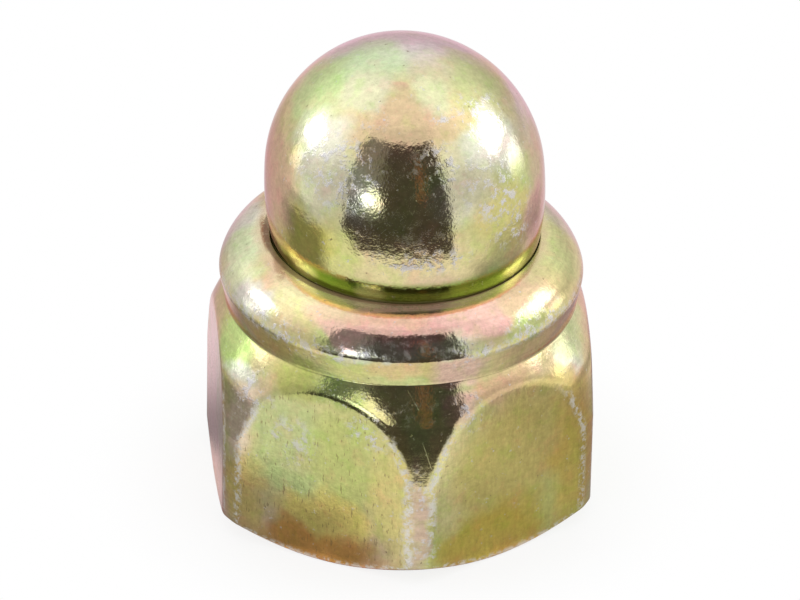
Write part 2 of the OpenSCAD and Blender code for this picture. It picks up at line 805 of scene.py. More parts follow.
@dataclass(frozen=True)
class ZincFinish(Finish):
    """Yellow-passivated zinc plate with drifting tints, pale rubbed patches and a fine grain. Some tint
    and rubbed patches lie where the lights' highlights fall and pale them: painted highlight.

    Each span is the readings of a grain at which something starts and at which it is whole.
    """

    sizes: NutSizes
    tints: tuple[Tint, ...]
    rubs_and_highlights: tuple[Patch, ...]
    stains: tuple[Tint, ...]
    scratches_and_painted_arcs: tuple[LineMark, ...]
    rough_places: tuple[Patch, ...]
    straw: Colour = (0.76, 0.67, 0.32)
    green: Colour = (0.62, 0.74, 0.30)
    rose: Colour = (0.84, 0.60, 0.44)
    greener: Colour = (0.92, 1.02, 0.87)
    rosier: Colour = (1.07, 0.94, 1.02)
    edge_tint: Colour = (1.0, 0.74, 0.82)
    rub_and_highlight_haze: Film = Film(HAZE, 0.34, 0.7, share=0.8)
    stray_rub: Film = Film(HAZE, 0.25, 0.7, share=0.5)
    sparkle: Film = Film(HAZE, 0.3, 0.75, share=0.35)
    pit: Film = Film((0.16, 0.09, 0.05), 0.4, 0.4, share=0.6)
    swaying: Grain = Grain(0.5, 3.0)
    drifting: Grain = Grain(0.16)
    mottled: Grain = Grain(0.9, 4.0, 0.65)
    fine: Grain = Grain(4.2, 3.0, 0.7)
    coarse: Grain = Grain(1.7, 3.0, 0.6)
    lumpy: Grain = Grain(1.9)
    blotchy: Grain = Grain(1.9, 4.0, 0.72)
    strays: Grain = Grain(2.3, 4.0, 0.75)
    sparkling: Grain = Grain(8.5, 2.0, 0.6)
    pitted: Grain = Grain(3.4)
    green_span: Span = (0.48, 0.66)
    rose_span: Span = (0.50, 0.34)
    greener_span: Span = (0.50, 0.68)
    rosier_span: Span = (0.48, 0.30)
    spot_span: Span = (0.50, 0.64)
    stray_span: Span = (0.63, 0.70)
    sparkle_span: Span = (0.07, 0.20)
    pit_span: Span = (0.27, 0.22)
    ragged_span: Span = (0.38, 0.52)
    rose_share: float = 0.8
    sway: float = 2.6
    roughness: float = 0.10
    least_rough: float = 0.04
    relief_h: float = 0.007
    rub_relief: float = 0.6
    stray_relief: float = 0.3
    scratch_relief: float = 0.4

    def shader(self, at: Signal) -> Signal:
        """Lays the plating and what marks it.

        Args:
            at: Position in millimetres.

        Returns:
            The shader.
        """
        coat = self.plating(at)
        self.mark(at, coat)
        bump = {"Strength": 1.0, "Distance": self.relief_h * MM, "Height": coat.relief}
        surface = {
            "Base Color": coat.colour,
            "Metallic": coat.metal,
            "Roughness": coat.rough,
            "Specular Tint": self.edge_tint,
            "Normal": at.graph.node("Bump", None, bump),
        }
        return at.graph.node("BsdfPrincipled", None, surface)

    def plating(self, at: Signal) -> Coat:
        """The plating itself: tints that drift, their patches, and a speckled grain. A few tint patches
        are painted highlight.

        Args:
            at: Position in millimetres.

        Returns:
            The coat so far.
        """
        graph = at.graph
        sway = graph.vector("SUBTRACT", self.swaying.read(at, Reading.THREE_NUMBERS), (0.5, 0.5, 0.5))
        swayed = graph.vector("ADD", at, graph.scale(sway, self.sway))
        drift = self.drifting.read(swayed)
        colour = graph.mix(drift.rise(*self.green_span), self.straw, self.green)
        colour = graph.mix(drift.rise(*self.rose_span) * self.rose_share, colour, self.rose)
        for tint in self.tints:
            colour = graph.mix(tint.mask(swayed), colour, tint.colour)
        mottle = self.mottled.read(at)
        plain = (1.0, 1.0, 1.0)
        for span, shift in ((self.greener_span, self.greener), (self.rosier_span, self.rosier)):
            colour = graph.vector("MULTIPLY", colour, graph.mix(mottle.rise(*span), plain, shift))
        fine = self.fine.read(at)
        coarse = self.coarse.read(at)
        colour = graph.scale(colour, 1.0 + (fine - 0.5) * 0.55 + (coarse - 0.5) * 0.30)
        rough = self.roughness + (coarse - 0.5) * 0.12
        relief = fine + self.lumpy.read(at) * 1.6
        return Coat(colour, rough.most(self.least_rough), relief)

    def mark(self, at: Signal, coat: Coat) -> None:
        """Adds pale rubbed patches, partly painted highlight, sparkles, dark pits, stains and fine lines:
        scratched ones, and on the dome painted reflection arcs.

        Args:
            at: Position in millimetres.
            coat: The coat, which is changed.
        """
        blotch = self.blotchy.read(at)
        spots = blotch.rise(*self.spot_span)
        # Pale rubbed patches: partly real haze, partly laid where the lights' highlights fall to pale
        # them, a painted highlight.
        for rub_and_highlight_haze in self.rubs_and_highlights:
            mask = spots * rub_and_highlight_haze.mask(at)
            coat.cover(mask, self.rub_and_highlight_haze)
            coat.relief = coat.relief + mask * self.rub_relief
        strays = self.strays.read(at).rise(*self.stray_span)
        coat.cover(strays, self.stray_rub)
        coat.relief = coat.relief + strays * self.stray_relief
        sparkle = self.sparkling.read(at) - 0.5
        for place in self.rough_places:
            mask = place.mask(at)
            coat.relief = coat.relief + sparkle * mask
            coat.cover(sparkle.rise(*self.sparkle_span) * mask, self.sparkle)
        coat.cover(self.pitted.read(at).rise(*self.pit_span), self.pit)
        ragged = blotch.rise(*self.ragged_span)
        for stain in self.stains:
            coat.cover(ragged * stain.mask(at), Film(stain.colour, 0.3, 0.3))
        # Fine lines: scratched ones, and on the dome dark arcs painted under the top lights' reflections.
        for line_mark in self.scratches_and_painted_arcs:
            mask = line_mark.mask(at)
            coat.cover(mask * (0.1 + 0.3 * spots), Film(line_mark.colour, 0.3, 0.5))
            coat.relief = coat.relief - mask * self.scratch_relief


@dataclass(frozen=True)
class TurnedZinc(ZincFinish):
    """The body's finish: lay marks, worn arrises and dirt along the seam.

    What is masked by height, by distance from the axis or from an arris rises and falls
    between two distances in millimetres.
    """

    lip_film: Film = Film((0.90, 0.62, 0.44), 0.36, 0.4, share=0.5)
    drawn: Film = Film((0.30, 0.22, 0.10), 0.3, share=0.55)
    darker_foot: Film = Film((0.62, 0.32, 0.10), 0.2, share=0.6)
    worn: Film = Film((0.84, 0.82, 0.76), 0.3, 0.7, share=0.75)
    worn_rim: Film = Film(HAZE, 0.3, 0.7, share=0.5)
    seam_dirt: Film = Film((0.22, 0.12, 0.06), 0.4, 0.3, share=0.8)
    round_lay: Grain = Grain(1.0, 2.0, 0.6, stretch=(5.0, 2.2, 5.0))
    down_lay: Grain = Grain(1.0, 3.0, 0.6, stretch=(4.5, 4.5, 0.9))
    streaky: Grain = Grain(1.0, stretch=(9.0, 9.0, 2.2))
    darker_foot_grain: Grain = Grain(0.8, 3.0)
    wearing: Grain = Grain(2.8, 4.0, 0.7)
    turned_span: Span = (-0.1, 0.1)
    strip_h: Span = (9.6, 8.2)
    darker_foot_h: Span = (1.6, 0.2)
    worn_h: Span = (9.4, 7.6)
    worn_span: Span = (0.36, 0.06)

    def mark(self, at: Signal, coat: Coat) -> None:
        """Adds what turning, handling and the seam left on the body.

        Args:
            at: Position in millimetres.
            coat: The coat, which is changed.
        """
        graph = at.graph
        s = self.sizes
        x, y, height = (graph.axis(at, k) for k in range(3))
        radius = graph.length(graph.vector("MULTIPLY", at, LEVEL))
        arris = graph.node("Attribute", {"attribute_name": "arris"}, output="Fac")
        turned = arris.rise(*self.turned_span)

        # The tool leaves rings on what is turned, and the drawn bar's flats keep upright lines.
        round_lay = self.round_lay.read(graph.compose(radius, graph.math("ARCTAN2", y, x), height))
        down_lay = self.down_lay.read(at)
        lay = down_lay + (round_lay - down_lay) * turned
        upright = turned * height.rise(*self.strip_h)
        coat.relief = coat.relief * (1.0 - 0.6 * upright) + (lay - 0.5) * (1.1 - 0.85 * turned)
        coat.colour = graph.scale(coat.colour, 1.0 + (lay - 0.5) * 0.35)

        # The lip is rubbed matt round the seam, the flats are streaked, and low down the flats are painted
        # darker and orange-brown: painted shade near the floor.
        on_lip = height.rise(s.flange_top, s.flange_top + 0.3)
        coat.cover(radius.rise(s.lip_r + 0.9, s.lip_r + 0.3) * on_lip, self.lip_film)
        streaks = self.streaky.read(at).rise(0.37, 0.30)
        coat.cover(streaks * (1.0 - turned) * x.rise(2.5, -2.0), self.drawn)
        # Painted shade: the foot of the flats turns darker and orange-brown.
        low = height.rise(*self.darker_foot_h) * (1.0 - turned)
        coat.cover(low * self.darker_foot_grain.read(at).rise(0.35, 0.6), self.darker_foot)
        super().mark(at, coat)

        # The arrises and both sides of the collar's rim are worn, and dirt sits in the seam.
        wear = self.wearing.read(at)
        ridge = abs(arris).rise(*self.worn_span) * height.rise(*self.worn_h)
        coat.cover(ridge * wear.rise(0.45, 0.56), self.worn)
        rim = height.rise(s.side_top - 0.25, s.side_top) * height.rise(s.side_top + 0.5, s.side_top + 0.2)
        sides = abs(x + 0.8).rise(2.6, 3.8) * wear.rise(0.46, 0.58)
        coat.cover(rim * sides * radius.rise(s.lip_r + 1.5, s.lip_r + 2.0), self.worn_rim)
        coat.cover(radius.rise(s.lip_r + 0.24, s.lip_r + 0.10) * on_lip, self.seam_dirt)


@dataclass(frozen=True)
class PressedZinc(ZincFinish):
    """The dome's finish: an even grain, and a dark green down its neck, partly the plating's colour and
    partly painted shade of the crevice that it reflects, with painted glints.

    The span is the heights above the lip where the green starts and where it is whole.
    """

    painted_neck_glints: tuple[Patch, ...] = ()
    neck_span: Span = (1.35, 0.75)
    # Dark green of the neck: partly the plating's colour, partly painted shade.
    neck_green_and_shade: Film = Film((0.20, 0.38, 0.04), 0.08, share=0.95)
    # Film for the neck's painted glints.
    pale: Film = Film((0.68, 0.84, 0.34), 0.12, share=0.95)
    seam_dirt: Film = Film((0.14, 0.08, 0.035), 0.4, 0.3, share=0.8)

    def mark(self, at: Signal, coat: Coat) -> None:
        """Adds the neck's dark green, partly painted shade, its painted glints, and the dirt at the seam.

        Args:
            at: Position in millimetres.
            coat: The coat, which is changed.
        """
        above_lip = at.graph.axis(at, 2) - self.sizes.lip_top
        # The neck turns dark green: partly the plating's colour, partly painted shade.
        neck = above_lip.rise(*self.neck_span)
        coat.cover(neck, self.neck_green_and_shade)
        # Lighter places down the neck: painted glints.
        for place in self.painted_neck_glints:
            coat.cover(neck * place.mask(at), self.pale)
        super().mark(at, coat)
        coat.cover(above_lip.rise(0.05, 0.0), self.seam_dirt)


@dataclass(frozen=True)
class NylonFinish(Finish):
    """Natural nylon: a translucent off-white with a faint moulded texture."""

    colour: Colour = (0.82, 0.79, 0.69)
    cloud: Colour = (0.763, 0.735, 0.642)
    cloudy: Grain = Grain(0.8)
    moulded: Grain = Grain(3.0, 4.0)
    relief_h: float = 0.006

    def shader(self, at: Signal) -> Signal:
        """Clouds the nylon and gives it its texture.

        Args:
            at: Position in millimetres.

        Returns:
            The shader.
        """
        graph = at.graph
        bump = {"Distance": self.relief_h * MM, "Height": self.moulded.read(at)}
        surface = {
            "Base Color": graph.mix(self.cloudy.read(at).rise(0.35, 0.65), self.colour, self.cloud),
            "Roughness": 0.42,
            "Subsurface Weight": 0.25,
            "Normal": graph.node("Bump", None, bump),
        }
        return graph.node("BsdfPrincipled", None, surface)


BODY_TINTS_AND_PAINTED_HIGHLIGHTS = (
    Tint((-8.2, 0.4, 14.1), (2.2, 3.2, 1.6), (0.73, 0.85, 0.51)),
    Tint((-8.8, -1.8, 13.4), (1.8, 2.0, 1.2), (0.86, 0.89, 0.56)),
    Tint((-8.3, 3.2, 13.8), (2.2, 2.2, 1.6), (0.80, 0.81, 0.67)),
    Tint((-8.1, -4.3, 13.2), (1.8, 1.8, 1.0), (0.78, 0.74, 0.66)),
    Tint((-5.7, -5.0, 14.4), (2.0, 2.0, 1.0), (0.90, 0.82, 0.46)),
    Tint((-3.8, -6.8, 14.2), (2.4, 1.8, 1.0), (0.91, 0.69, 0.46)),
    Tint((-0.9, -8.0, 14.1), (3.4, 1.6, 1.1), (0.87, 0.54, 0.40)),
    Tint((2.7, -7.6, 14.1), (2.6, 1.8, 1.1), (0.88, 0.56, 0.48)),
    Tint((5.6, -5.9, 14.2), (2.0, 2.0, 1.0), (0.78, 0.56, 0.36)),
    Tint((8.0, -1.2, 14.1), (2.2, 3.4, 1.5), (0.71, 0.75, 0.34)),
    Tint((8.6, 2.2, 13.7), (2.0, 2.4, 1.4), (0.70, 0.68, 0.53)),
    Tint((-3.6, -8.0, 13.6), (2.2, 1.6, 0.7), (0.88, 0.58, 0.46)),
    Tint((-0.9, -8.5, 13.6), (2.4, 1.4, 0.7), (0.88, 0.54, 0.45)),
    Tint((2.7, -8.1, 13.6), (2.4, 1.4, 0.7), (0.89, 0.55, 0.47)),
    Tint((-0.6, -8.9, 12.9), (4.2, 1.2, 0.8), (0.80, 0.80, 0.60)),
    Tint((-1.0, -9.2, 11.8), (3.2, 1.5, 0.8), (0.81, 0.60, 0.30)),
    Tint((-3.9, -8.4, 11.6), (1.8, 1.5, 0.9), (0.74, 0.72, 0.28)),
    Tint((2.2, -9.0, 11.7), (1.8, 1.5, 0.9), (0.86, 0.58, 0.46)),
    Tint((-7.2, -5.8, 11.9), (2.4, 2.6, 0.9), (0.76, 0.62, 0.22)),
    Tint((6.0, -7.0, 11.9), (2.6, 2.4, 0.9), (0.96, 0.74, 0.38)),
    Tint((-8.8, -3.6, 10.1), (1.7, 2.6, 1.3), (0.65, 0.84, 0.30)),
    # The next two pale the shoulder where the side lights' highlights fall, so that these read white:
    # painted highlight.
    Tint((-8.7, -4.7, 9.3), (1.1, 1.4, 0.9), (0.86, 0.87, 0.72)),
    Tint((8.1, -5.0, 9.9), (1.2, 1.4, 0.9), (0.86, 0.88, 0.76)),
    Tint((-6.2, -7.0, 10.3), (2.0, 1.8, 1.2), (0.55, 0.55, 0.17)),
    Tint((-4.2, -8.4, 10.3), (1.7, 1.4, 1.0), (0.49, 0.56, 0.19)),
    Tint((8.3, -4.0, 10.5), (1.8, 2.4, 1.4), (0.74, 0.80, 0.43)),
    Tint((4.4, -8.4, 10.2), (2.2, 1.6, 1.2), (0.83, 0.56, 0.33)),
    Tint((2.0, -9.4, 9.8), (1.2, 1.0, 1.2), (0.90, 0.62, 0.48)),
    Tint((-6.3, -7.3, 7.6), (2.6, 2.0, 2.4), (0.60, 0.68, 0.29)),
    Tint((-3.4, -8.9, 6.0), (2.6, 2.0, 4.0), (0.61, 0.64, 0.22)),
    Tint((-4.4, -8.5, 2.6), (3.2, 2.4, 1.8), (0.96, 0.78, 0.23)),
    Tint((-5.2, -8.0, 0.7), (4.4, 3.2, 1.3), (0.80, 0.40, 0.11)),
    Tint((-9.0, -5.7, 7.2), (1.3, 1.5, 2.8), (0.98, 0.80, 0.59)),
    Tint((-8.6, -5.9, 3.0), (1.3, 1.5, 2.8), (0.86, 0.68, 0.24)),
    Tint((-1.4, -10.1, 4.9), (1.2, 1.0, 4.0), (0.74, 0.65, 0.24)),
    Tint((6.4, -7.3, 8.6), (3.0, 2.2, 1.8), (0.92, 0.76, 0.29)),
    Tint((1.7, -10.1, 6.5), (1.6, 1.3, 3.4), (0.85, 0.76, 0.36)),
    Tint((5.0, -8.3, 5.6), (4.6, 3.2, 4.4), (0.72, 0.59, 0.19)),
    Tint((8.6, -6.0, 4.6), (2.0, 1.8, 5.0), (0.82, 0.56, 0.12), 0.75),
    Tint((4.0, -8.8, 1.6), (5.0, 3.4, 2.2), (0.64, 0.49, 0.09)),
    Tint((-0.3, -10.7, 3.5), (0.8, 0.5, 3.8), (0.72, 0.53, 0.40)),
    Tint((-9.5, 1.4, 4.5), (0.5, 4.5, 6.5), (0.98, 0.72, 0.56)),
)
# Pale rubbed patches, partly real haze and partly laid on the lights' highlights to pale them: painted
# highlight.
BODY_RUBS_AND_PAINTED_HIGHLIGHTS = (
    Patch((-8.2, -5.9, 8.9), (1.6, 1.4, 1.4)),
    Patch((-7.6, -5.4, 12.8), (2.2, 2.2, 0.8)),
    Patch((-5.9, -7.0, 12.6), (1.8, 1.6, 0.8)),
    Patch((-3.6, -8.4, 12.6), (1.6, 0.9, 0.6)),
    Patch((2.6, -8.8, 12.6), (1.4, 1.0, 0.9)),
    Patch((5.9, -6.6, 13.0), (2.4, 2.2, 0.9)),
    Patch((-0.2, -10.6, 3.4), (0.9, 0.6, 4.0), 0.9),
    Patch((-2.4, -9.4, 8.6), (1.6, 1.2, 1.2)),
    Patch((2.6, -9.4, 9.4), (1.4, 1.0, 1.2)),
    Patch((-0.2, -9.6, 9.6), (2.4, 1.4, 0.8), 0.3),
    Patch((-6.4, -7.4, 6.8), (1.6, 1.4, 1.6), 0.7),
    Patch((-0.5, -8.8, 12.9), (3.0, 0.9, 0.7), 0.5),
)
BODY_STAINS = (
    Tint((-0.8, -7.1, 14.5), (3.4, 0.35, 0.5), (0.40, 0.22, 0.15), 0.7),
    Tint((-6.5, -2.8, 14.5), (0.35, 1.4, 0.5), (0.50, 0.30, 0.16), 0.7),
    Tint((-6.95, 0.3, 14.5), (0.25, 1.8, 0.5), (0.36, 0.17, 0.07), 1.0),
)
BODY_SCRATCHES = (
    LineMark((-0.6, -9.12, 10.75), (-0.1, -9.65, 9.85), 0.025),
    LineMark((0.0, -10.2, 8.45), (0.5, -10.45, 6.85), 0.025),
    LineMark((-5.55, -7.4, 12.5), (-5.5, -7.25, 11.3), 0.035, (0.2, 0.1, 0.05)),
)
BODY_ROUGH = (
    Patch((-3.8, -8.4, 10.5), (2.2, 1.2, 0.9)),
    Patch((-0.8, -9.3, 10.4), (2.6, 1.0, 0.8), 0.5),
)
DOME_TINTS_AND_PAINTED_HIGHLIGHTS = (
    Tint((-0.2, 2.4, 25.0), (7.0, 4.4, 2.4), (0.78, 0.68, 0.70)),
    Tint((6.4, 0.4, 22.4), (1.6, 4.0, 2.6), (0.76, 0.66, 0.62)),
    Tint((-2.8, -0.3, 24.6), (3.4, 2.4, 1.8), (0.64, 0.80, 0.46)),
    Tint((-4.6, -0.8, 23.4), (2.2, 2.8, 2.2), (0.64, 0.78, 0.36)),
    Tint((3.6, -1.4, 24.0), (2.4, 2.2, 2.0), (0.62, 0.66, 0.32)),
    Tint((-0.7, -4.6, 23.4), (4.2, 2.4, 2.6), (0.81, 0.60, 0.37)),
    # The next two tint the reflections of the two top lights pale green: painted highlight.
    Tint((-2.3, -2.5, 24.3), (1.5, 1.4, 1.2), (0.80, 0.78, 0.52)),
    Tint((0.95, -2.8, 24.5), (1.4, 1.4, 1.2), (0.74, 0.75, 0.46)),
    Tint((-0.7, -2.7, 24.6), (0.5, 0.5, 0.5), (0.72, 0.54, 0.34)),
    Tint((-4.3, -5.0, 20.6), (2.6, 2.6, 2.6), (0.85, 0.80, 0.57)),
    Tint((2.5, -6.1, 20.9), (2.2, 2.0, 2.4), (0.85, 0.78, 0.54)),
    Tint((4.8, -5.2, 18.2), (2.6, 2.4, 2.4), (0.74, 0.66, 0.26)),
    Tint((-0.9, -7.0, 17.0), (4.6, 2.0, 1.8), (0.88, 0.76, 0.40)),
    Tint((-3.9, -5.9, 17.3), (1.4, 1.4, 2.2), (0.78, 0.76, 0.30)),
    Tint((-5.6, -4.4, 17.0), (2.0, 2.6, 2.0), (0.76, 0.68, 0.17)),
    Tint((-6.9, -1.6, 19.5), (1.7, 3.4, 3.8), (0.83, 0.57, 0.38)),
    Tint((6.8, -2.2, 19.0), (1.5, 3.0, 3.8), (0.62, 0.56, 0.33)),
    Tint((6.3, -3.3, 17.2), (1.4, 1.8, 1.8), (0.74, 0.50, 0.38)),
    # The next two pale the dome where the side lights' highlights fall: painted highlight.
    Tint((-4.6, -3.4, 22.3), (2.0, 2.0, 1.8), (0.84, 0.82, 0.66)),
    Tint((4.2, -4.0, 22.0), (2.0, 2.0, 1.8), (0.84, 0.82, 0.68)),
)
# Pale rubbed patches, partly real haze and partly laid on the lights' highlights to pale them, the last
# two under the top lights' reflections: painted highlight.
DOME_RUBS_AND_PAINTED_HIGHLIGHTS = (
    Patch((-4.2, -4.8, 21.2), (2.4, 2.2, 2.2)),
    Patch((-2.6, -5.6, 22.0), (1.4, 1.2, 1.2), 0.7),
    Patch((1.2, -5.9, 21.9), (1.6, 1.4, 1.2)),
    Patch((3.8, -5.6, 20.4), (2.0, 1.6, 1.8)),
    Patch((4.9, -4.9, 17.6), (1.6, 1.6, 1.3)),
    Patch((3.6, -3.4, 23.2), (1.8, 1.8, 1.6)),
    Patch((-2.8, -6.2, 20.3), (1.2, 1.2, 1.2), 0.5),
    Patch((-1.5, -6.5, 20.0), (3.4, 1.2, 3.0), 0.12),
    Patch((4.4, -4.8, 19.2), (2.0, 1.8, 1.4), 0.8),
    Patch((0.2, -7.0, 17.0), (3.2, 0.9, 0.8)),
    Patch((0.6, -6.9, 18.2), (2.4, 0.9, 1.2), 0.2),
    Patch((-2.0, -4.1, 23.6), (0.8, 0.8, 0.6)),
    Patch((1.5, -4.1, 23.6), (0.8, 0.8, 0.6)),
)
# Two short dark arcs just under the reflections of the two top lights: painted reflection.
DOME_PAINTED_REFLECTION_ARCS = (
    LineMark((-1.8, -3.3, 24.1), (-1.35, -3.3, 24.2), 0.03, (0.30, 0.20, 0.10)),
    LineMark((1.4, -3.3, 24.2), (1.85, -3.2, 24.1), 0.03, (0.30, 0.20, 0.10)),
)
DOME_ROUGH = (
    Patch((-1.6, -6.0, 21.9), (2.6, 1.2, 1.2), 0.8),
    Patch((-2.6, -6.4, 19.8), (2.0, 1.2, 1.8), 0.8),
    Patch((-1.2, -6.9, 18.3), (3.2, 1.2, 1.0), 0.8),
    Patch((1.2, -6.6, 20.0), (1.4, 1.2, 2.6), 0.7),
    Patch((4.4, -4.6, 21.4), (2.4, 2.4, 3.0), 0.4),
)
# Lighter places down the dark neck where it catches the lights: painted glints.
NECK_PAINTED_GLINTS = (
    Patch((-5.6, -4.2, 15.2), (1.1, 1.1, 0.7)),
    Patch((5.3, -4.6, 15.1), (1.1, 1.1, 0.7), 0.7),
    Patch((-2.4, -6.5, 14.9), (1.0, 0.6, 0.6)),
    Patch((-0.4, -6.9, 14.7), (2.4, 0.8, 0.9), 0.15),
)


# -------------------------------------------------------------------------- pieces


@dataclass(frozen=True)
class DomeSet:
    """How the dome sits in the rolled lip: a little off the axis, in a lip that dips in front.

    Each span of radii is where a move of the lip starts, and where it is whole.
    """

    sizes: NutSizes
    off_axis: float = 0.17
    tilt: float = 0.0265
    slack: float = 0.05
    slack_angle: float = 187.0
    slack_spread: float = 11.0
    front_dip: float = 0.08
    carried: Span = (8.8, 7.1)
    slackened: Span = (8.0, 7.1)
    dipped: Span = (8.4, 7.0)

    def seat_dome(self, points: Array) -> Array:
        """Moves the dome's points to where it sits, with its tilt.

        Args:
            points: Points about the axis, in millimetres.

        Returns:
            The moved points.
        """
        s = self.sizes
        height = points[:, 2]
        moved = points.copy()
        moved[:, 0] += self.off_axis * ease(height, s.flange_top, s.lip_top)
        moved[:, 0] -= self.tilt * np.clip(height - s.lip_top, 0.0, None)
        return moved

    def seat_lip(self, points: Array) -> Array:
        """Moves the lip with the dome, opens a little slack on one side and dips the front.

        Args:
            points: The body's points about the axis, in millimetres.

        Returns:
            The moved points.
        """
        s = self.sizes
        radius = np.hypot(points[:, 0], points[:, 1])
        height = points[:, 2]
        moved = points.copy()
        moved[:, 0] += ease(radius, *self.carried) * self.off_axis * ease(height, s.flange_top, s.lip_top)
        angle = np.degrees(np.arctan2(points[:, 1], points[:, 0])) % 360.0
        side = np.exp(-(((angle - self.slack_angle) / self.slack_spread) ** 2))
        on_lip = ease(height, s.flange_top, s.flange_top + 0.5) * ease(radius, *self.slackened)
        moved[:, :2] += points[:, :2] / radius[:, None] * (self.slack * side * on_lip)[:, None]
        front = np.clip(-points[:, 1] / radius, 0.0, 1.0) ** 2
        rolled = ease(height, s.flange_top + 0.4, s.lip_top) * ease(radius, *self.dipped)
        moved[:, 2] -= self.front_dip * front * rolled
        return moved


@dataclass
class NutBody:
    """The hexagon with its turned shoulder, rolled collar, seat and thread.

    Each soft is the width over which an edge is rounded, and each steps the number of
    rings or points in a stretch. The bearing face's edge is rounded through points that
    lie so far in and so far up from it.
    """

    sizes: NutSizes
    strip_steps: int = 5
    flat_steps: int = 62
    low_steps: int = 8
    side_steps: int = 48
    shoulder_steps: int = 38
    collar_steps: int = 10
    roll_steps: int = 28
    thread_steps: int = 141
    thin: int = 3
    face_edge: tuple[Span, ...] = ((0.12, 0.0), (0.03, 0.006))
    edge_h: float = 0.02
    fine_in: float = 0.8
    coarse_in: float = 1.2
    recess_fine: float = 0.3
    arris_soft: float = 0.18
    lip_edge: float = 0.03
    turn_soft: float = 0.1
    foot_soft: float = 0.05
    base_soft: float = 0.08
    rim_soft: float = 0.13
    flank: float = math.tan(math.radians(30.0))

    def angles(self) -> Array:
        """Angles of the outer rings, crowded at the sides of each turned corner.

        Returns:
            Angles in radians, with a corner in the middle of each sixth.
        """
        half = math.acos(self.sizes.flat_r / self.sizes.corner_r)
        corner = math.pi / 6
        strip = np.linspace(0.0, corner - half, self.strip_steps + 1)[:-1]
        flat = corner - half + crowd(self.flat_steps, 0.8)[:-1] * 2 * half
        sixth = np.concatenate((strip, flat, corner + half + strip))
        return np.concatenate([sixth + corner + k * math.pi / 3 for k in range(6)])

    def hexagon(self, angles: Array) -> Array:
        """Radius of the sharp hexagon, whose flats face along X and corners lie on Y."""
        off_flat = (angles + math.pi / 6) % (math.pi / 3) - math.pi / 6
        return self.sizes.flat_r / np.cos(off_flat)

    def shoulder(self, height: Array) -> Array:
        """Radius of the turned shoulder: a steep cone, then a large arc.

        Args:
            height: Height at each angle.

        Returns:
            The radius there.
        """
        s = self.sizes
        above = np.clip(height - s.corner_h, s.even_h - s.corner_h, s.flat_r)
        turned = s.shoulder_x + np.sqrt(s.flat_r**2 - above**2)
        lean = math.tan(math.radians(s.corner_lean))
        cone = s.corner_r - np.clip(height - s.corner_h - s.corner_rise, 0.0, None) * lean
        turned = np.where(height < s.even_h, cone + self.turn_soft, turned)
        return soft_min(turned, cone, self.turn_soft)

    def chamfer(self, height: Array) -> Array:
        """Radius of the cone under the corners at a height."""
        return self.sizes.base_r + height / math.tan(math.radians(self.sizes.base_angle))

    def outside(self, flat: Array, height: Array) -> Array:
        """Radius of the outside, from the base to the collar's widest place.

        Args:
            flat: Radius of the sharp hexagon at each angle.
            height: Height at each angle.

        Returns:
            The radius at each angle.
        """
        s = self.sizes
        turned = np.minimum(s.corner_r, self.shoulder(height))
        turned = soft_min(turned, self.chamfer(height), self.base_soft)
        side = soft_min(flat, turned, self.arris_soft)
        slope = s.collar_waist / s.collar_side_h
        return soft_max(side, s.foot_r + slope * (height - s.hex_h), self.foot_soft)

    def thread(self, angles: Array, height: float) -> Array:
        """Radius of the hole at a height: thread, countersink and the cone at its top.

        Args:
            angles: The ring's angles.
            height: Height of the ring.

        Returns:
            The radius at each angle.
        """
        s = self.sizes
        turn = (height / s.pitch - angles / (2 * math.pi)) % 1.0
        from_root = np.abs(turn - 0.5) * s.pitch - s.pitch / 16
        groove = np.clip(s.thread_d / 2 - from_root / self.flank, s.bore_r, s.thread_d / 2)
        sink = s.sink_r - height / self.flank
        top = s.bore_r + height - (s.seat_z - s.thread_depth)
        return np.maximum(groove, max(sink, top))

    def rim(self) -> Span:
        """Where the side ends and the rounding of the collar's widest edge starts."""
        s = self.sizes
        return s.collar_r - self.rim_soft * s.collar_waist / s.collar_side_h, s.side_top - self.rim_soft

    def upper_section(self) -> Array:
        """Section from the collar's widest place over the lip to the flange's seat.

        Returns:
            Points as (radius, height).
        """
        s = self.sizes
        x, z = s.roll_middle
        edge, lower = self.lip_edge, s.lip_round
        edge_x = s.lip_r + edge
        edge_z = z + math.sqrt((s.roll_r - edge) ** 2 - (edge_x - x) ** 2)
        roll_start = s.roll_lean + math.degrees(self.rim_soft / s.roll_r)
        roll_end = math.degrees(math.atan2(edge_z - z, edge_x - x))
        roll = arc((x, z), s.roll_r, roll_start, roll_end, self.roll_steps)
        return np.concatenate(
            (
                bend(self.rim(), (s.collar_r, s.side_top), tuple(roll[0]), 4)[1:],
                roll[1:],
                arc((edge_x, edge_z), edge, roll_end, 180.0, 5)[1:],
                arc((s.lip_r + lower, s.flange_top + lower), lower, 180.0, 270.0, 5),
                [[s.recess_r - 0.2, s.flange_top], [s.recess_r, s.flange_top]],
            )
        )

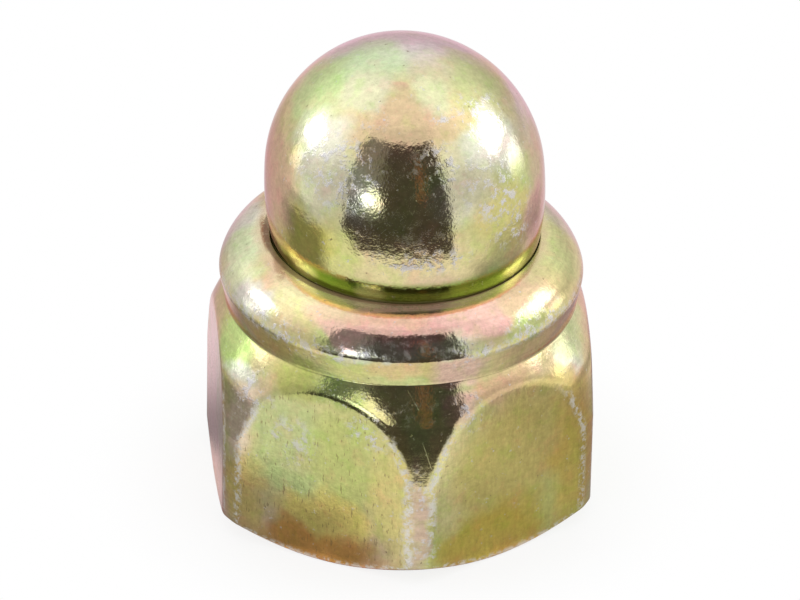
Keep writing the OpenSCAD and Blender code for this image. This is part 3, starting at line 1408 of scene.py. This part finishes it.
    def build(self) -> bpy.types.Object:
        """Makes the body's mesh, from the bearing face up outside and down the bore.

        Returns:
            The piece.
        """
        s = self.sizes
        skin = Skin(self.angles())
        flat = self.hexagon(skin.angles)
        side = np.minimum(flat, s.corner_r)
        low = (side - s.base_r) * math.tan(math.radians(s.base_angle))
        turned = s.corner_h + np.sqrt(np.clip(s.flat_r**2 - (side - s.shoulder_x) ** 2, 0.0, None))
        lean = math.tan(math.radians(s.corner_lean))
        cone = s.corner_h + s.corner_rise + (s.corner_r - side) / lean
        high = np.minimum(cone, np.maximum(turned, s.even_h))
        first = skin.ring(s.base_r - self.fine_in, 0.0)
        ring = skin.rings([(s.base_r - inwards, up) for inwards, up in self.face_edge], first)
        stretches = (
            (self.edge_h, low, self.low_steps),
            (low, high, self.side_steps),
            (high, s.hex_h, self.shoulder_steps),
            (s.hex_h, self.rim()[1], self.collar_steps),
        )
        for start, end, steps in stretches:
            heights = [start + (end - start) * share for share in crowd(steps)[1:]]
            ring = skin.rings([(self.outside(flat, height), height) for height in heights], ring)
        ring = skin.rings(self.upper_section(), ring)
        coarse = skin.ring(s.recess_r, s.flange_top - self.recess_fine, self.thin)
        skin.thin_out(ring, coarse)
        seat = [(radius, s.seat_z) for radius in (s.recess_r, s.recess_r - 0.1, s.thread_d / 2)]
        angles = skin.angles[:: self.thin]
        heights = np.linspace(s.seat_z, 0.0, self.thread_steps + 1)[1:]
        bore = [(self.thread(angles, height), height) for height in heights]
        ring = skin.rings([*seat, *bore, (s.base_r - self.coarse_in, 0.0)], coarse, self.thin)
        skin.thin_out(first, ring, closing=True)
        points = skin.all_points()
        piece = skin.to_object("nut_body_plated", DomeSet(s).seat_lip(points))
        attribute = piece.data.attributes.new("arris", "FLOAT", "POINT")
        attribute.data.foreach_set("value", self.arris(points).astype(np.float32))
        return piece

    def arris(self, points: Array) -> Array:
        """Signed distance to the edge between the hexagon and what is turned.

        Args:
            points: Points in millimetres.

        Returns:
            The distance in millimetres, below 0 on the flats and above 0 off them.
        """
        s = self.sizes
        height = points[:, 2]
        flat = self.hexagon(np.arctan2(points[:, 1], points[:, 0]))
        shoulder, chamfer = self.shoulder(height), self.chamfer(height)
        arc_slope = np.clip(height - s.corner_h, 0.0, None) / (shoulder - s.shoulder_x)
        arc_slope = np.maximum(arc_slope, math.tan(math.radians(s.corner_lean)) * (arc_slope > 0.0))
        slope = np.where(chamfer < shoulder, 1.0 / math.tan(math.radians(s.base_angle)), arc_slope)
        across = np.sqrt(np.clip((flat / s.flat_r) ** 2 - 1.0, 0.0, None))
        distance = (flat - np.minimum(shoulder, chamfer)) / np.sqrt(across**2 + slope**2 + 1e-4)
        return np.clip(distance, -3.0, 3.0)


@dataclass
class DomeCap:
    """The pressed dome: half sphere, wall, neck, bend and flange.

    Where the half sphere is within merge degrees of upright, it runs over into the
    neck in one slack curve. The rings stop at the angles of tip and inner_tip, and a
    fan of triangles closes each side.
    """

    sizes: NutSizes
    columns: int = 256
    merge: float = 4.0
    merge_h: float = 1.33
    flange_edge: float = 0.08
    tip: float = 88.8
    inner_tip: float = 87.0

    def outside(self) -> Array:
        """The outside, from near the tip down to the lip.

        Returns:
            Points as (radius, height).
        """
        s = self.sizes
        ball = arc((0.0, s.dome_z), s.dome_r, self.tip, self.merge, 76)
        lean = math.radians(self.merge)
        wall_r = self.merge_h / math.sin(lean)
        x, z = ball[-1] - wall_r * np.array([math.cos(lean), math.sin(lean)])
        wall = arc((x, z), wall_r, self.merge, 0.0, 6)
        drop, draw = z - s.lip_top, x + wall_r - s.neck_r
        neck_r = (draw**2 + drop**2) / (2 * draw)
        turn = math.degrees(math.asin(drop / neck_r))
        neck = arc((x + wall_r - neck_r, z), neck_r, 0.0, -turn, 18)
        return np.concatenate((ball, wall[1:], neck[1:]))

    def inside(self) -> Array:
        """The inside, from the neck's foot up to near the tip.

        Returns:
            Points as (radius, height).
        """
        s = self.sizes
        neck_r = s.neck_bend_r - s.dome_t
        turn = math.degrees(math.asin(s.neck_h / neck_r))
        neck = arc((s.dome_r - s.neck_bend_r, s.neck_top), neck_r, -turn, 0.0, 8)
        return np.concatenate((neck, arc((0.0, s.dome_z), s.dome_r - s.dome_t, 0.0, self.inner_tip, 28)))

    def section(self) -> Array:
        """Closed section from near the tip outside to near the tip inside.

        Returns:
            Points as (radius, height).
        """
        s = self.sizes
        inside = self.inside()
        edge, outer_bend, inner_bend = self.flange_edge, s.bend_r, s.bend_r + s.dome_t
        return np.concatenate(
            (
                self.outside(),
                arc((s.neck_r + outer_bend, s.flange_top + outer_bend), outer_bend, 180.0, 270.0, 5),
                arc((s.flange_r - edge, s.flange_top - edge), edge, 90.0, 0.0, 2),
                arc((s.flange_r - edge, s.ring_top + edge), edge, 0.0, -90.0, 2),
                arc((inside[0][0] + inner_bend, s.ring_top + inner_bend), inner_bend, 270.0, 180.0, 7),
                inside,
            )
        )

    def build(self) -> bpy.types.Object:
        """Makes the dome's mesh.

        Returns:
            The piece.
        """
        s = self.sizes
        skin = Skin(full_turn(self.columns))
        section = self.section()
        first = skin.ring(*section[0])
        last = skin.rings(section[1:], first)
        skin.pole(first[::-1], s.dome_top)
        skin.pole(last, s.dome_top - s.dome_t)
        return skin.to_object("dome_cap_plated", DomeSet(s).seat_dome(skin.all_points()))


@dataclass
class LockingRing:
    """The nylon ring that grips the bolt."""

    sizes: NutSizes
    columns: int = 144
    corner: float = 0.05

    def build(self) -> bpy.types.Object:
        """Makes the ring's mesh.

        Returns:
            The piece.
        """
        s = self.sizes
        outer = s.recess_r - s.seat_gap
        inner = s.thread_d / 2 - s.ring_grip * s.thread_depth
        edge, corner = s.ring_chamfer, self.corner
        section = np.concatenate(
            (
                arc((outer - edge, s.seat_z + edge), edge, -90.0, 0.0, 5),
                arc((outer - corner, s.ring_top - corner), corner, 0.0, 90.0, 3),
                arc((inner + edge, s.ring_top - edge), edge, 90.0, 180.0, 5),
                arc((inner + edge, s.seat_z + edge), edge, 180.0, 270.0, 5),
            )
        )
        skin = Skin(full_turn(self.columns))
        first = skin.ring(*section[0])
        skin.join(skin.rings(section[1:], first), first)
        return skin.to_object("locking_ring_nylon", skin.all_points())


# -------------------------------------------------------------------------- studio


@dataclass(frozen=True)
class Viewpoint:
    """Where the camera stands. Angles are in degrees and lengths in metres."""

    azimuth: float = -6.74
    elevation: float = 32.5
    roll: float = 1.19
    distance: float = 0.4202
    lens: float = 369.2
    sight: float = 0.00894
    lift: float = 0.00118

    def direction(self, azimuth: float, elevation: float) -> Vector:
        """A direction given from the camera's side of the studio.

        Args:
            azimuth: 0 towards the camera, 90 to its right.
            elevation: Angle above the floor.

        Returns:
            A unit vector.
        """
        a = math.radians(self.azimuth + azimuth)
        e = math.radians(elevation)
        return Vector((math.sin(a) * math.cos(e), -math.cos(a) * math.cos(e), math.sin(e)))

    def make_camera(self) -> None:
        """Adds the camera, which looks just above its sight point, and makes it the scene's."""
        back = self.direction(0.0, self.elevation)
        level = self.direction(90.0, 0.0)
        roll = math.radians(self.roll)
        up = back.cross(level * math.cos(roll) + back.cross(level) * math.sin(roll))
        place = Vector((0.0, 0.0, self.sight)) + back * self.distance
        back = (back * self.distance - up * self.lift).normalized()
        up = (up - back * up.dot(back)).normalized()
        turn = Matrix((up.cross(back), up, back)).transposed().to_4x4()
        camera = bpy.data.cameras.new("camera")
        camera.lens = self.lens
        camera.clip_start = 0.01
        camera.clip_end = 20.0
        holder = bpy.data.objects.new("camera", camera)
        holder.matrix_world = Matrix.Translation(place) @ turn
        bpy.context.scene.collection.objects.link(holder)
        bpy.context.scene.camera = holder


@dataclass(frozen=True)
class Bearing:
    """A direction seen from the nut, in degrees: 0 azimuth is towards the camera."""

    azimuth: Signal
    elevation: Signal


@dataclass(frozen=True)
class SoftLight:
    """A far soft light. Its place and size are angles in degrees, seen from the nut."""

    azimuth: float
    elevation: float
    width: float
    height: float
    edge: float
    strength: float

    def mask(self, bearing: Bearing) -> Signal:
        """Where the light is.

        Args:
            bearing: The direction.

        Returns:
            1 in the light and 0 off it, with a soft edge.
        """
        across = (bearing.azimuth - self.azimuth) * math.cos(math.radians(self.elevation))
        up = bearing.elevation - self.elevation
        return across.within(self.width, self.edge) * up.within(self.height, self.edge)

    def add_to(self, bearing: Bearing, level: Signal) -> Signal:
        """The brightness in a direction with this light, from the level without it."""
        return level + (self.strength - level) * self.mask(bearing)


@dataclass(frozen=True)
class FloorShade:
    """A shaded stretch of floor round the nut. Angles in degrees, radii in millimetres.

    The near and far edges are soft over that share of their radius, in and out.
    """

    azimuth: float
    width: float
    edge: float
    near: float
    far: float
    strength: float
    near_edge: float = 0.12
    far_edge: float = 0.15

    def add_to(self, bearing: Bearing, out: Signal, level: Signal) -> Signal:
        """Puts the shade on the floor.

        Args:
            bearing: The direction.
            out: Distance from the nut's axis.
            level: Brightness there without this shade.

        Returns:
            Brightness with it.
        """
        mask = (bearing.azimuth - self.azimuth).within(self.width, self.edge)
        mask = mask * out.rise((1.0 - self.near_edge) * self.near, (1.0 + self.near_edge) * self.near)
        mask = mask * out.rise((1.0 + self.far_edge) * self.far, (1.0 - self.far_edge) * self.far)
        return level + (self.strength - level) * mask


@dataclass(frozen=True)
class Window:
    """Something pale or coloured that stands in the dark side."""

    light: SoftLight
    colour: Colour

    def add_to(self, bearing: Bearing, radiance: Value) -> Signal:
        """What is seen in a direction with this window, from what is seen without it."""
        glow = tuple(self.light.strength * c for c in self.colour)
        return bearing.azimuth.graph.mix(self.light.mask(bearing), radiance, glow)


def reflections_only(thing: bpy.types.Object) -> None:
    """Leaves a thing in the studio to be seen in reflections and nowhere else."""
    for ray in ("camera", "diffuse", "transmission", "shadow"):
        setattr(thing, f"visible_{ray}", False)


@dataclass(frozen=True)
class Card:
    """A bright card that lies level with the collar. Only the shoulder sees it, from below."""

    left: float
    right: float
    far: float
    near: float
    height: float = 12.95
    strength: float = 1.4

    def build(self) -> None:
        """Lays the card in the studio."""
        low, high = (self.left, self.right), (self.right, self.left)
        outline = [(x, self.far, self.height) for x in low] + [(x, self.near, self.height) for x in high]
        card = add_mesh("shoulder_card", np.array(outline), [(0, 1, 2, 3)])
        reflections_only(card)
        material, graph = new_material("card_glow")
        below = graph.node("NewGeometry", output="Backfacing")
        glow = graph.node("Emission", None, {"Strength": self.strength})
        both = graph.mix_shaders(below, graph.node("BsdfTransparent"), glow)
        graph.add("OutputMaterial", None, {"Surface": both})
        card.data.materials.append(material)


@dataclass
class Studio:
    """Pale floor, soft lights all round and a dark side where the camera stands.

    Lengths are in millimetres and angles in degrees. Spans are where something starts
    and where it is whole.
    """

    view: Viewpoint
    lights: tuple[SoftLight, ...] = (
        SoftLight(0.0, 58.0, 46.0, 16.0, 12.0, 0.78),
        SoftLight(-58.0, 8.0, 24.0, 26.0, 14.0, 0.60),
        SoftLight(56.0, 8.0, 26.0, 24.0, 14.0, 0.62),
        SoftLight(-100.0, 39.0, 44.0, 52.0, 32.0, 1.22),
        SoftLight(102.0, 42.0, 38.0, 54.0, 28.0, 1.25),
        SoftLight(-99.0, 21.0, 18.0, 17.0, 8.0, 2.8),
        SoftLight(-101.0, 2.0, 10.0, 12.0, 7.0, 1.5),
        SoftLight(101.0, 25.0, 24.0, 19.0, 9.0, 3.0),
        SoftLight(107.0, 2.0, 17.0, 13.0, 8.0, 1.6),
        SoftLight(-119.0, 60.0, 19.0, 20.0, 5.0, 1.16),
        SoftLight(130.0, 68.0, 19.0, 19.0, 5.0, 1.16),
    )
    shades: tuple[FloorShade, ...] = (
        FloorShade(0.0, 400.0, 1.0, 0.1, 12.0, 0.62),
        FloorShade(-18.0, 16.0, 12.0, 0.1, 12.8, 0.32),
        FloorShade(-34.0, 24.0, 16.0, 0.1, 15.0, 0.30),
        FloorShade(-56.0, 34.0, 20.0, 0.1, 17.5, 0.30),
        FloorShade(-92.0, 64.0, 30.0, 0.1, 21.0, 0.30),
        FloorShade(34.0, 40.0, 20.0, 0.1, 17.0, 0.52),
        FloorShade(100.0, 90.0, 40.0, 0.1, 23.0, 0.38),
        FloorShade(-93.0, 62.0, 14.0, 20.0, 42.0, 0.25),
        FloorShade(-96.0, 70.0, 26.0, 42.0, 62.0, 0.50),
        FloorShade(-58.0, 30.0, 18.0, 38.0, 300.0, 0.64),
        FloorShade(102.0, 66.0, 22.0, 28.0, 38.0, 0.48),
        FloorShade(82.0, 52.0, 18.0, 21.0, 29.0, 0.38),
        FloorShade(-130.0, 50.0, 24.0, 24.0, 160.0, 0.60),
    )
    windows: tuple[Window, ...] = (
        Window(SoftLight(-34.0, 30.0, 24.0, 60.0, 14.0, 0.24), (0.95, 1.0, 1.05)),
        Window(SoftLight(-29.0, 1.0, 20.0, 16.0, 11.0, 0.34), (0.90, 1.0, 1.18)),
        Window(SoftLight(15.5, 24.0, 3.5, 36.0, 3.0, 0.26), (1.0, 0.45, 0.35)),
        Window(SoftLight(-26.0, 3.5, 15.0, 12.0, 5.0, 2.4), (0.98, 1.0, 1.2)),
    )
    cards: tuple[Card, ...] = (Card(-8.6, -4.5, -28.0, -14.4), Card(-6.8, -4.7, -13.8, -12.9))
    low_sky: float = 0.68
    high_sky: float = 0.98
    sky_span: Span = (6.0, 42.0)
    middle_h: float = 14.0
    floor_level: float = 0.82
    floor_r: float = 1500.0
    floor_z: float = -0.01
    floor_hole_r: float = 9.2
    floor_span: Span = (70.0, 300.0)
    shadow_share: float = 0.16
    shadow_span: Span = (10.0, 17.0)
    contact_span: Span = (9.6, 10.6)
    dark: Colour = (0.070, 0.062, 0.064)
    dark_start: Span = (33.9, 34.5)
    dark_corner: float = 14.0
    dark_corner_span: Span = (-32.0, -54.0)
    dark_left: float = -46.0
    dark_right: float = 37.5
    dark_top: Span = (53.0, 51.0)
    dark_edge: float = 2.0
    drape_section: tuple[Span, ...] = ((22.0, 0.3), (60.0, 0.3), (600.0, 0.3), (600.0, 960.0))
    drape_half: float = 60.0
    drape_steps: int = 40

    def bearing(self, graph: Graph, towards: Signal) -> Bearing:
        """Turns a direction into angles.

        Args:
            graph: The graph it is used in.
            towards: The direction, of any length.

        Returns:
            The angles.
        """
        front = tuple(self.view.direction(0.0, 0.0))
        right = tuple(self.view.direction(90.0, 0.0))
        azimuth = graph.math("ARCTAN2", graph.dot(towards, right), graph.dot(towards, front))
        out = graph.length(graph.vector("MULTIPLY", towards, LEVEL))
        elevation = graph.math("ARCTAN2", graph.dot(towards, (0.0, 0.0, 1.0)), out)
        return Bearing(azimuth * math.degrees(1.0), elevation * math.degrees(1.0))

    def place_bearing(self, at: Signal) -> Bearing:
        """The direction in which the nut sees a place in the studio."""
        return self.bearing(at.graph, at.graph.vector("SUBTRACT", at, (0.0, 0.0, self.middle_h)))

    def make_world(self) -> None:
        """Fills the world with the soft lights. The camera itself sees it plain white."""
        world = bpy.data.worlds.new("studio")
        world.use_nodes = True
        graph = Graph(world.node_tree)
        bearing = self.bearing(graph, graph.node("TexCoord", output="Generated"))
        level = self.low_sky + (self.high_sky - self.low_sky) * bearing.elevation.rise(*self.sky_span)
        for light in self.lights:
            level = light.add_to(bearing, level)
        lit = graph.node("Background", None, {"Color": graph.compose(level, level, level)})
        plain = graph.node("Background", None, {"Color": (1.0, 1.0, 1.0)})
        both = graph.mix_shaders(graph.node("LightPath", output="Is Camera Ray"), lit, plain)
        graph.add("OutputWorld", None, {"Surface": both})
        bpy.context.scene.world = world

    def make_floor(self) -> None:
        """Lays the pale floor. It keeps the nut's shadow near it and is white farther off.

        The metal sees the side lights spill on to it. The floor is clear from below, and open
        under the nut, so that the bearing face and the bore can be looked at.
        """
        skin = Skin(full_turn(64))
        skin.rings([(self.floor_r, self.floor_z)], skin.ring(self.floor_hole_r, self.floor_z))
        floor = skin.to_object("floor", skin.all_points())
        material, graph = new_material("pale_floor")
        at = graph.place()
        out = graph.length(at)
        bearing = self.place_bearing(at)
        level = self.floor_level + (self.low_sky - self.floor_level) * out.rise(*self.floor_span)
        for shade in self.shades:
            level = shade.add_to(bearing, out, level)
        for light in self.lights:
            level = light.add_to(bearing, level)
        camera, glossy, through = (
            graph.node("LightPath", output=f"Is {ray} Ray") for ray in ("Camera", "Glossy", "Transmission")
        )
        matt = graph.node("BsdfDiffuse", None, {"Color": (0.95, 0.95, 0.95)})
        white = graph.node("Emission", None, {"Color": (1.0, 1.0, 1.0)})
        glow = graph.node("Emission", None, {"Color": graph.compose(level, level, level)})
        pale = 1.0 - self.shadow_share + self.shadow_share * out.rise(*self.shadow_span)
        share = camera * pale + glossy * out.rise(*self.contact_span) + through
        both = graph.mix_shaders(share, matt, graph.mix_shaders(glossy, white, glow))
        # The floor's faces point down, so whatever looks down on it sees their backs.
        above = graph.node("NewGeometry", output="Backfacing")
        sided = graph.mix_shaders(above, graph.node("BsdfTransparent"), both)
        graph.add("OutputMaterial", None, {"Surface": sided})
        floor.data.materials.append(material)

    def make_dark_side(self) -> None:
        """Hangs a dark drape behind the camera and over the floor in front of it.

        Only reflections see it, so it gives the metal its dark accents and takes no
        light from anything. Pale windows and a thin brown pole stand in it.
        """
        half = self.drape_half
        angles = np.linspace(-half, half, self.drape_steps + 1) + self.view.azimuth - 90.0
        skin = Skin(np.radians(angles))
        rings = [skin.ring(*place) for place in self.drape_section]
        for low, high in zip(rings, rings[1:]):
            skin.join(low, high, closed=False)
        drape = skin.to_object("dark_drape", skin.all_points())
        reflections_only(drape)
        material, graph = new_material("dark_cloth")
        at = graph.place()
        bearing = self.place_bearing(at)
        radiance = self.dark
        for window in self.windows:
            radiance = window.add_to(bearing, radiance)
        off_middle = bearing.azimuth - (self.dark_left + self.dark_right) / 2
        across = off_middle.within(self.dark_right - self.dark_left, self.dark_edge)
        up = bearing.elevation.rise(*self.dark_top)
        corner = self.dark_corner * bearing.azimuth.rise(*self.dark_corner_span)
        start = (graph.length(at) - corner).rise(*self.dark_start)
        glow = graph.node("Emission", None, {"Color": radiance})
        both = graph.mix_shaders(across * up * start, graph.node("BsdfTransparent"), glow)
        graph.add("OutputMaterial", None, {"Surface": both})
        drape.data.materials.append(material)

    def build(self) -> None:
        """Sets up the whole studio."""
        self.view.make_camera()
        self.make_world()
        self.make_floor()
        self.make_dark_side()
        for card in self.cards:
            card.build()
        bpy.context.scene.view_settings.view_transform = "Standard"


# ---------------------------------------------------------------------------- main


def fit(piece: bpy.types.Object, node: str, finish: Finish) -> None:
    """Puts a piece in the place of a CAD node and dresses it.

    Args:
        piece: The piece.
        node: The CAD node that it stands for.
        finish: The finish that it gets.
    """
    piece.data.materials.append(finish.material())
    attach(piece, "root")
    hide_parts(node)
    LOG.info("%s: %d faces, stands for %s", piece.name, len(piece.data.polygons), node)


def main() -> None:
    """Builds the studio and the three pieces."""
    logging.basicConfig(level=logging.INFO, format="%(name)s: %(message)s")
    sizes = NutSizes.from_frame()
    Studio(Viewpoint()).build()
    body_finish = TurnedZinc(
        "yellow_zinc_turned", sizes, BODY_TINTS_AND_PAINTED_HIGHLIGHTS, BODY_RUBS_AND_PAINTED_HIGHLIGHTS, BODY_STAINS, BODY_SCRATCHES, BODY_ROUGH
    )
    dome_finish = PressedZinc(
        "yellow_zinc_pressed",
        sizes,
        DOME_TINTS_AND_PAINTED_HIGHLIGHTS,
        DOME_RUBS_AND_PAINTED_HIGHLIGHTS,
        stains=(),
        scratches_and_painted_arcs=DOME_PAINTED_REFLECTION_ARCS,
        rough_places=DOME_ROUGH,
        roughness=0.07,
        painted_neck_glints=NECK_PAINTED_GLINTS,
    )
    fit(NutBody(sizes).build(), "nut_body", body_finish)
    fit(DomeCap(sizes).build(), "dome_cap", dome_finish)
    fit(LockingRing(sizes).build(), "locking_ring", NylonFinish("natural_nylon"))


if __name__ == "__main__":
    main()
